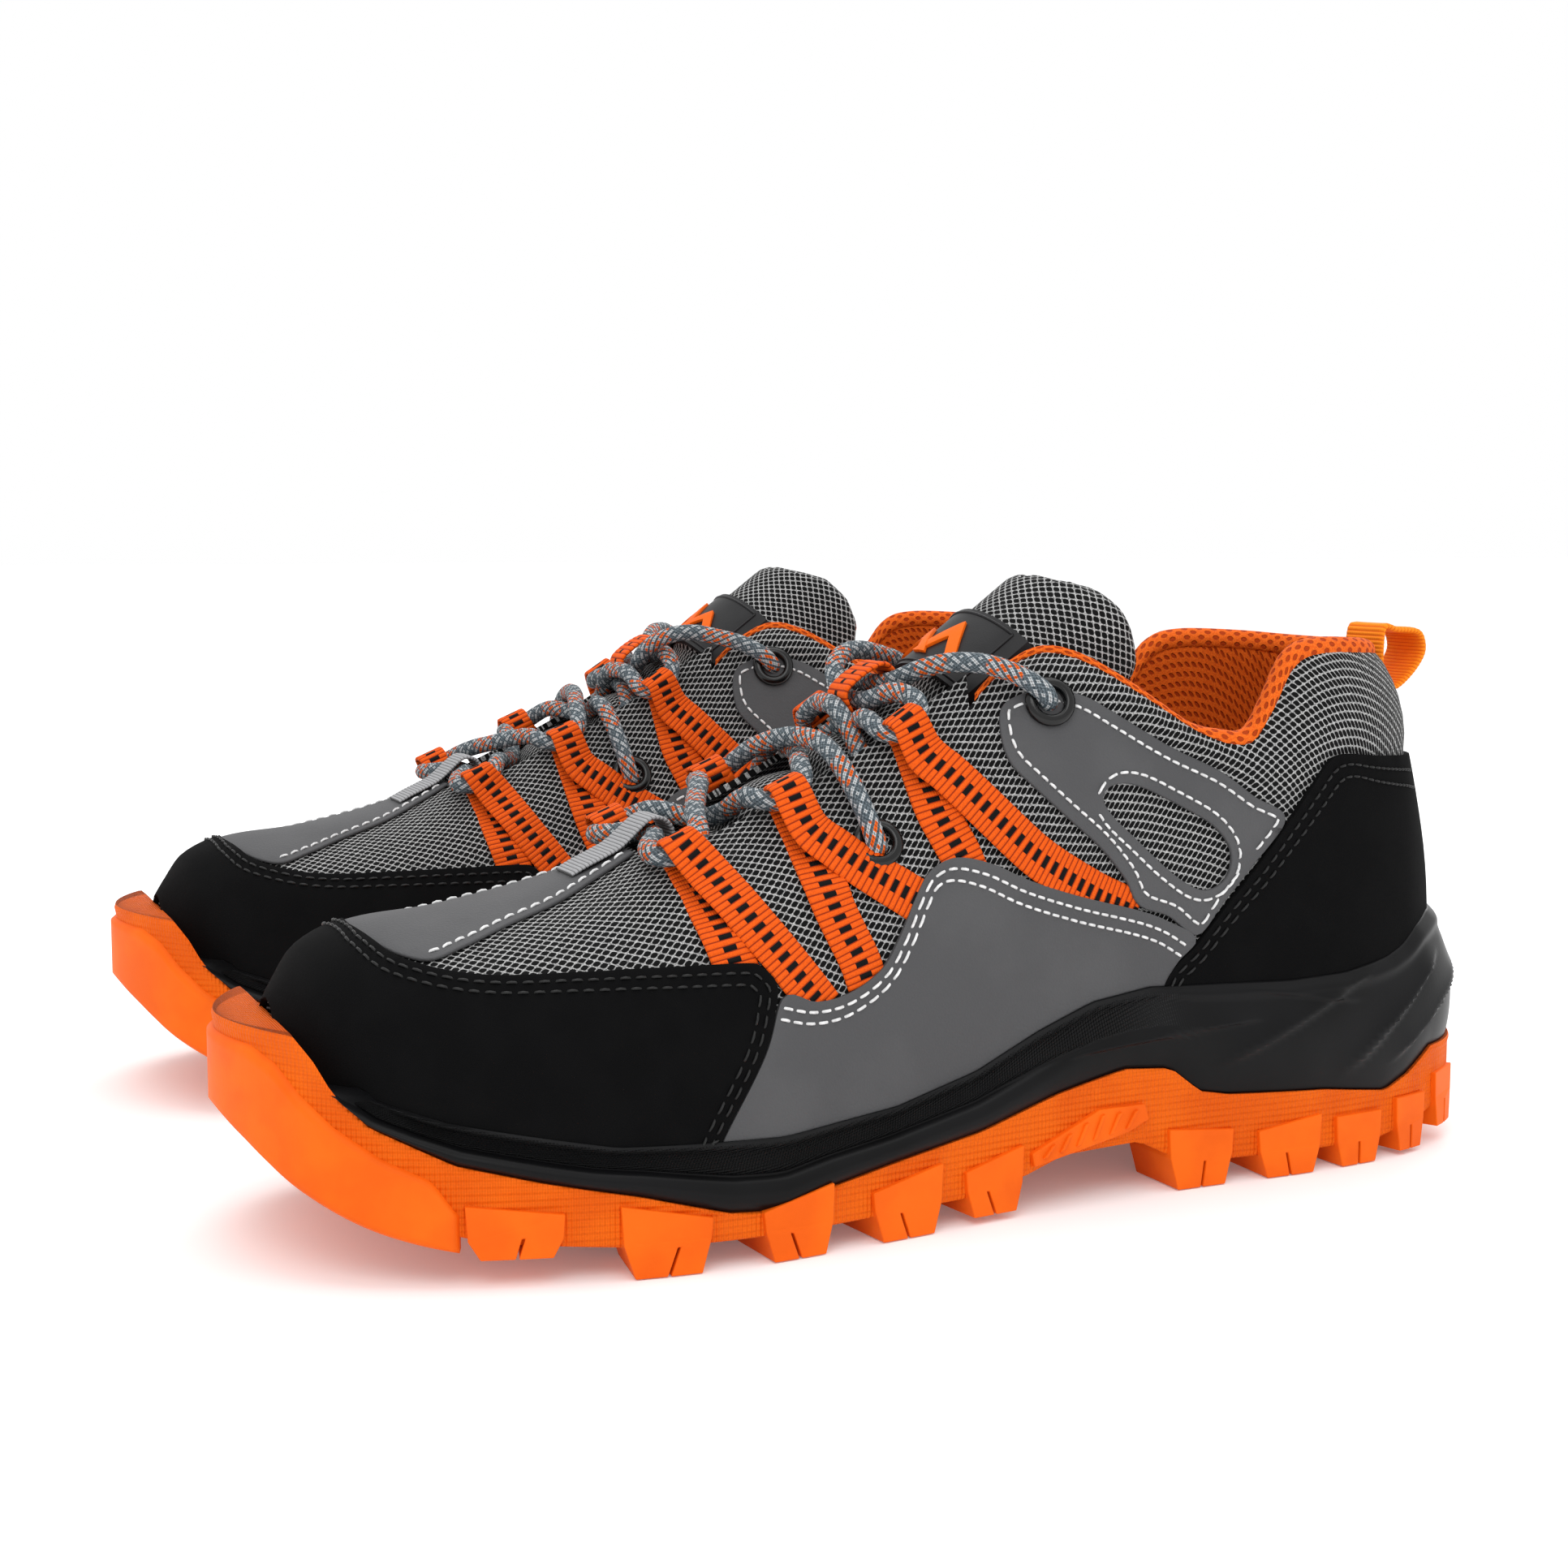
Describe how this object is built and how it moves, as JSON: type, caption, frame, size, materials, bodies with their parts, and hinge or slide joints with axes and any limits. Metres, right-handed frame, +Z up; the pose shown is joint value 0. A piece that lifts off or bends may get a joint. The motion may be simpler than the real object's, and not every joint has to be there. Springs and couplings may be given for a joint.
{
  "type": "hiking boots",
  "caption": "Pair of low-cut lace-up hiking boots with lugged orange soles, toe bumper, knitted upper, overlays, webbing lace loops, padded tongue and heel pull loop.",
  "frame": {"origin": "on the ground, in the middle of the pair's bounding box", "axes": "+X towards the heels, toes at -X, +Y from the left boot to the right boot, +Z up"},
  "size_m": [0.3022, 0.2596, 0.1371],
  "materials": {
    "orange_rubber": "moulded rubber, matt with a fine texture",
    "black_foam": "moulded foam, satin",
    "board": "pressed fibre board",
    "footbed_foam": "fabric-covered foam",
    "grey_knit": "honeycomb mesh knit",
    "orange_mesh": "air-mesh lining",
    "black_nubuck": "fine nubuck nap",
    "grey_synthetic": "smooth synthetic leather",
    "orange_webbing": "ribbed webbing",
    "yellow_webbing": "ribbed webbing",
    "grey_webbing": "ribbed webbing",
    "black_metal": "lacquered",
    "black_rubber": "satin moulded",
    "lace_braid": "round braid",
    "clear_plastic": "clear tube"
  },
  "bodies": {
    "left_boot": {"left_outsole": "orange_rubber", "left_midsole": "black_foam", "left_insole_board": "board", "left_footbed": "footbed_foam", "left_upper_mesh": "grey_knit", "left_toe_puff": "board", "left_heel_counter": "board", "left_collar_padding": "footbed_foam", "left_lining": "orange_mesh", "left_collar_piping": "orange_mesh", "left_toe_overlay": "black_nubuck", "left_vamp_strip": "grey_synthetic", "left_heel_overlay": "black_nubuck", "left_quarter_overlay_outer": "grey_synthetic", "left_ankle_overlay_outer": "grey_synthetic", "left_quarter_overlay_inner": "grey_synthetic", "left_ankle_overlay_inner": "grey_synthetic", "left_lace_loops": "orange_webbing", "left_eyelets": "black_metal", "left_tongue": "grey_knit", "left_lace_keeper": "orange_webbing", "left_vamp_tab": "grey_webbing", "left_lace": "lace_braid", "left_lace_tail_outer": "lace_braid", "left_lace_tail_inner": "lace_braid", "left_aglets": "clear_plastic"},
    "left_tongue_top_body": {"left_tongue_top": "grey_knit", "left_tongue_label": "black_rubber"},
    "left_pull_loop_body": {"left_pull_loop": "yellow_webbing"},
    "right_boot": {"right_outsole": "orange_rubber", "right_midsole": "black_foam", "right_insole_board": "board", "right_footbed": "footbed_foam", "right_upper_mesh": "grey_knit", "right_toe_puff": "board", "right_heel_counter": "board", "right_collar_padding": "footbed_foam", "right_lining": "orange_mesh", "right_collar_piping": "orange_mesh", "right_toe_overlay": "black_nubuck", "right_vamp_strip": "grey_synthetic", "right_heel_overlay": "black_nubuck", "right_quarter_overlay_outer": "grey_synthetic", "right_ankle_overlay_outer": "grey_synthetic", "right_quarter_overlay_inner": "grey_synthetic", "right_ankle_overlay_inner": "grey_synthetic", "right_lace_loops": "orange_webbing", "right_eyelets": "black_metal", "right_tongue": "grey_knit", "right_lace_keeper": "orange_webbing", "right_vamp_tab": "grey_webbing", "right_lace": "lace_braid", "right_lace_tail_outer": "lace_braid", "right_lace_tail_inner": "lace_braid", "right_aglets": "clear_plastic"},
    "right_tongue_top_body": {"right_tongue_top": "grey_knit", "right_tongue_label": "black_rubber"},
    "right_pull_loop_body": {"right_pull_loop": "yellow_webbing"}
  },
  "joints": [
    {"name": "left_tongue_bend", "type": "hinge", "parent": "left_boot", "child": "left_tongue_top_body", "pos_m": [0.0086, -0.0745, 0.1073], "axis": [0, -1, 0], "range_deg": [-4, 14], "stiffness_Nm_per_rad": 0.05},
    {"name": "left_pull_loop_swing", "type": "hinge", "parent": "left_boot", "child": "left_pull_loop_body", "pos_m": [0.1302, -0.0745, 0.1085], "axis": [0, 1, 0], "range_deg": [-8, 30], "stiffness_Nm_per_rad": 0.01},
    {"name": "right_tongue_bend", "type": "hinge", "parent": "right_boot", "child": "right_tongue_top_body", "pos_m": [0.0086, 0.0745, 0.1073], "axis": [0, -1, 0], "range_deg": [-4, 14], "stiffness_Nm_per_rad": 0.05},
    {"name": "right_pull_loop_swing", "type": "hinge", "parent": "right_boot", "child": "right_pull_loop_body", "pos_m": [0.1302, 0.0745, 0.1085], "axis": [0, 1, 0], "range_deg": [-8, 30], "stiffness_Nm_per_rad": 0.01},
    {"name": "right_boot_lift", "type": "slide", "parent": "left_boot", "child": "right_boot", "axis": [0, 0, 1], "range_m": [0, 0.2]}
  ]
}
